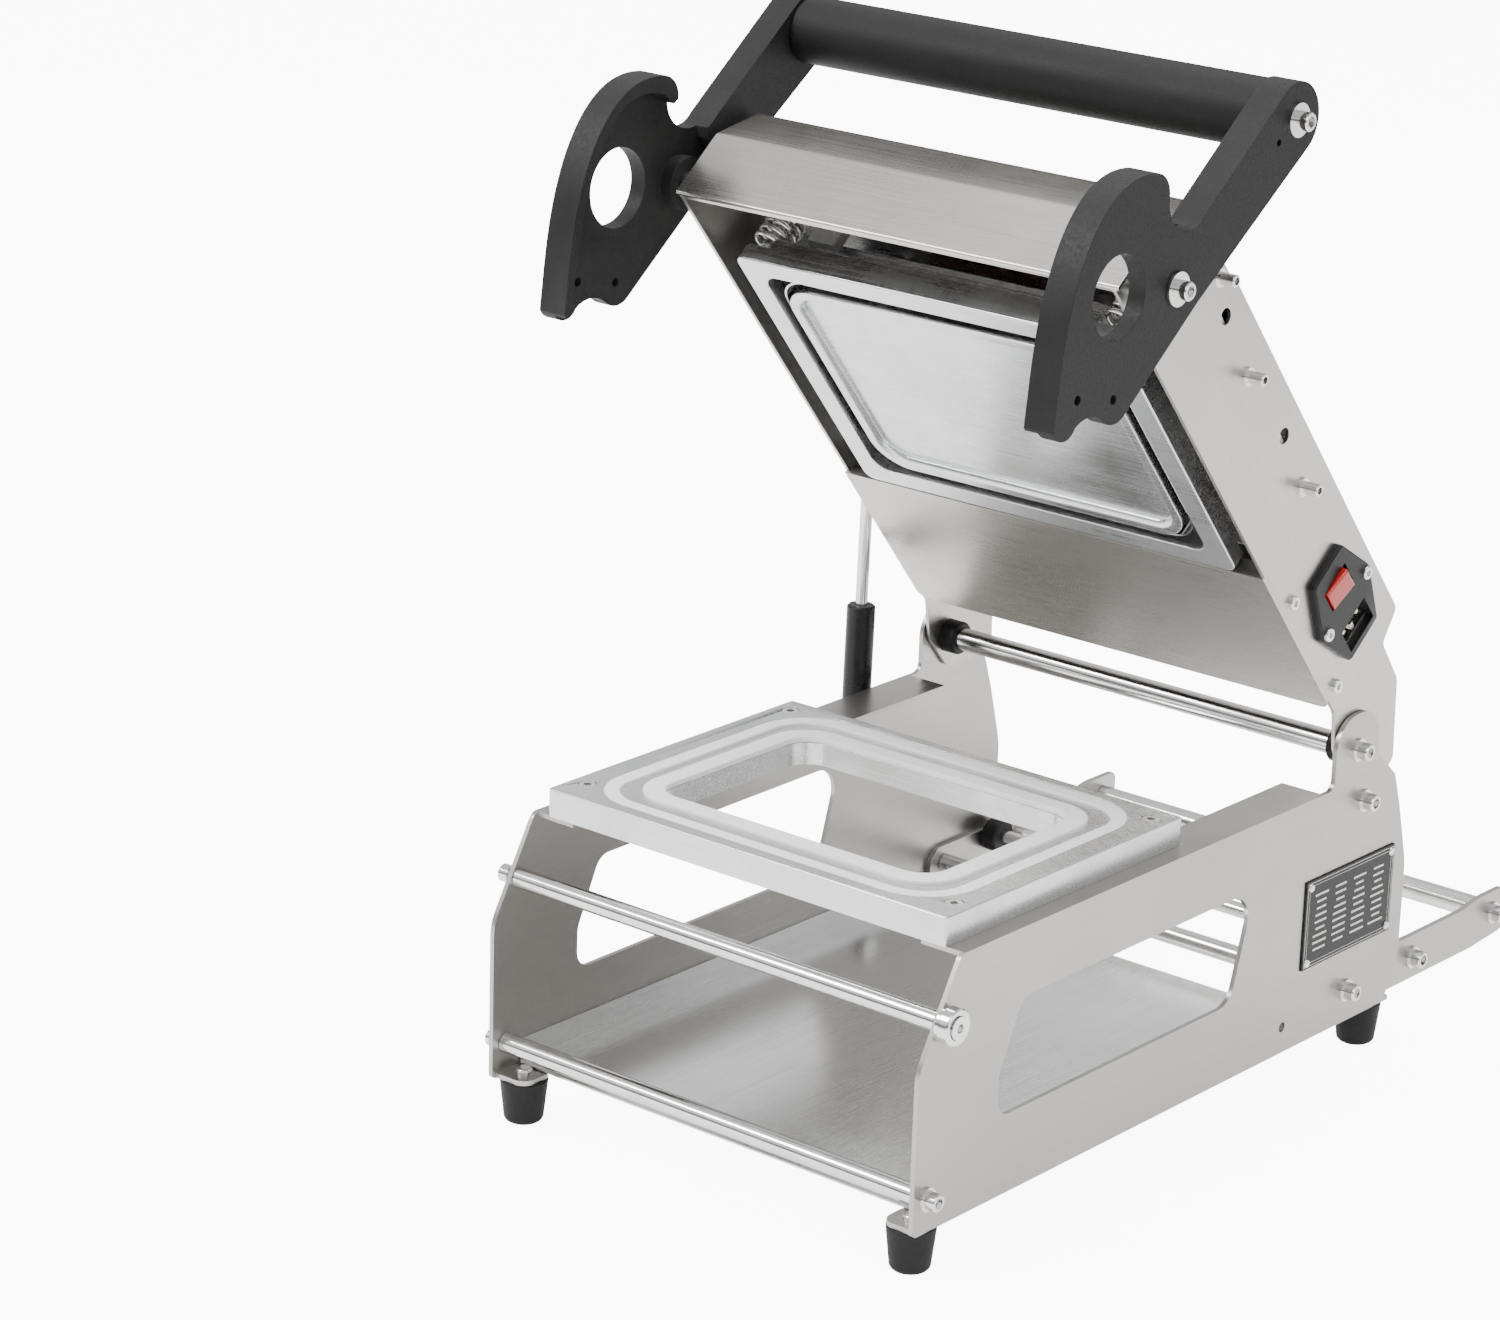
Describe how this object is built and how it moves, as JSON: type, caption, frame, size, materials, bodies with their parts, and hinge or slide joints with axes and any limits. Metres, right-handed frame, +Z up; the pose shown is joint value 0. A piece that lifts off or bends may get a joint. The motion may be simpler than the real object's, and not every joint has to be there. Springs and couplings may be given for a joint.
{
  "type": "tray sealer",
  "caption": "Manual cup and tray sealing machine: frame with tray mould, hinged heated head held up by a gas strut, cam lever handle and film roll holder.",
  "frame": {"origin": "on the floor under the middle of the machine's bounding box", "axes": "+Z up, -Y towards the operator, +X to the operator's right"},
  "size_m": [0.3156, 0.506, 0.5228],
  "materials": {
    "stainless": "brushed",
    "polished": "polished",
    "aluminium": "machined",
    "silicone": "matte",
    "black_rubber": "matte",
    "black_plastic": "matte",
    "black_paint": "satin",
    "red_plastic": "glossy",
    "brass": "satin",
    "ceramic": "matte",
    "heating_mat": "matte"
  },
  "bodies": {
    "frame": {"right_side_plate": "stainless", "left_side_plate": "stainless", "base_tray": "stainless", "front_rods": "polished", "rear_rods": "polished", "hinge_shaft": "polished", "frame_screws": "polished", "frame_washers": "polished", "stop_bumper": "black_rubber", "roller_pin": "polished", "mould_plate": "aluminium", "cutting_ring": "silicone", "sealing_gasket": "silicone", "mould_screws": "polished", "feet": "black_rubber", "foot_screws": "polished", "rating_plate": "black_paint", "rating_rivets": "polished", "film_arm_right": "stainless", "film_arm_left": "stainless", "film_end_rod": "polished", "strut_low_stud": "polished"},
    "head": {"head_plate_right": "stainless", "head_plate_left": "stainless", "hood": "stainless", "top_cover": "stainless", "bottom_panel": "stainless", "head_small_screws": "polished", "hinge_bushes": "black_plastic", "head_bar": "polished", "head_screws": "polished", "press_plate": "aluminium", "blade": "polished", "blade_carrier": "aluminium", "thermostat": "black_plastic", "terminal_block": "ceramic", "inlet_body": "black_plastic", "inlet_pins": "brass", "strut_top_stud": "polished", "pivot_pins": "polished", "pivot_caps": "polished", "clamp_springs": "polished", "heater_springs": "polished"},
    "clamp": {"clamp_frame": "aluminium", "clamp_posts": "polished"},
    "heater": {"heater_plate": "aluminium", "heating_element": "heating_mat", "heater_posts": "polished"},
    "handle": {"cam_lever_right": "black_paint", "cam_lever_left": "black_paint", "grip_tube": "black_plastic", "grip_core": "polished", "grip_screws": "polished"},
    "rocker": {"rocker": "red_plastic"},
    "cam_roller": {"cam_roller": "polished"},
    "film_spindle": {"film_spindle": "polished", "spindle_collars": "black_plastic"},
    "strut_cylinder": {"strut_tube": "black_paint"},
    "strut_rod": {"strut_rod": "polished"}
  },
  "joints": [
    {"name": "head_hinge", "type": "hinge", "parent": "frame", "child": "head", "pos_m": [0, 0.093, 0.1692], "axis": [1, 0, 0], "range_deg": [0, 50.4], "stiffness_Nm_per_rad": 6, "springref_deg": -114.59},
    {"name": "clamp_slide", "type": "slide", "parent": "head", "child": "clamp", "axis": [0, 0.7705, 0.6374], "range_m": [0, 0.004], "stiffness_N_per_m": 3000, "springref_m": -0.002},
    {"name": "heater_slide", "type": "slide", "parent": "head", "child": "heater", "axis": [0, 0.7705, 0.6374], "range_m": [0, 0.003], "stiffness_N_per_m": 3000, "springref_m": -0.003},
    {"name": "handle_pivot", "type": "hinge", "parent": "head", "child": "handle", "pos_m": [0, -0.11664, 0.44222], "axis": [1, 0, 0], "range_deg": [0, 62]},
    {"name": "rocker_tilt", "type": "hinge", "parent": "head", "child": "rocker", "pos_m": [0.1265, 0.06324, 0.26009], "axis": [0, 0.6374, -0.7705], "range_deg": [-16, 0]},
    {"name": "cam_roller_spin", "type": "hinge", "parent": "frame", "child": "cam_roller", "pos_m": [0.135, -0.2359, 0.1225], "axis": [1, 0, 0], "continuous": true},
    {"name": "film_spindle_spin", "type": "hinge", "parent": "frame", "child": "film_spindle", "pos_m": [0, 0.137, 0.0465], "axis": [1, 0, 0], "continuous": true},
    {"name": "strut_swing", "type": "hinge", "parent": "frame", "child": "strut_cylinder", "pos_m": [-0.1415, 0.0343, 0.045], "axis": [1, 0, 0], "range_deg": [0, 24.32]},
    {"name": "strut_stroke", "type": "slide", "parent": "strut_cylinder", "child": "strut_rod", "axis": [0, 0.0251, 0.9997], "range_m": [-0.0708, 0]}
  ],
  "couplings": [
    {"joint": "strut_swing", "follows": "head_hinge", "ratio": 0.4806},
    {"joint": "strut_stroke", "follows": "head_hinge", "m_per_rad": -0.0802}
  ]
}
